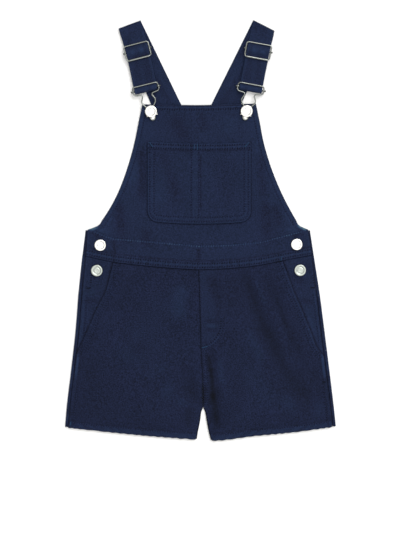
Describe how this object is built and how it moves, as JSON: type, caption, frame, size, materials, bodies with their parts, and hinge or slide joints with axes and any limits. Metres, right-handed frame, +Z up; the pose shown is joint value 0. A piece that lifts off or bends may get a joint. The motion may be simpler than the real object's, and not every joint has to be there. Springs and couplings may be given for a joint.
{
  "type": "denim dungaree shorts laid flat",
  "caption": "Child's navy denim dungaree shorts laid flat, front up: bib with patch pocket, crossed straps with metal slides and hooks, side buttons and slanted pockets.",
  "frame": {"origin": "on the surface that the garment lies on, under the middle of its bounding box", "axes": "+Y from the hems to the straps, +X to the viewer's right as seen from above, +Z up from the surface through the cloth"},
  "size_m": [0.3519, 0.5449, 0.0082],
  "materials": {
    "denim": "navy cotton twill, matte with a slight sheen",
    "steel": "bright nickel plate"
  },
  "bodies": {
    "root": {"back_left": "denim", "back_right": "denim", "back_bib": "denim", "front_left": "denim", "front_right": "denim", "hip_left": "denim", "hip_right": "denim", "bib": "denim", "bib_pocket": "denim", "strap_left": "denim", "strap_right": "denim", "slide_left": "steel", "slide_right": "steel", "hook_left": "steel", "hook_right": "steel", "bib_button_left": "steel", "bib_button_right": "steel", "side_button_upper_left": "steel", "side_button_lower_left": "steel", "side_button_upper_right": "steel", "side_button_lower_right": "steel"}
  },
  "joints": []
}
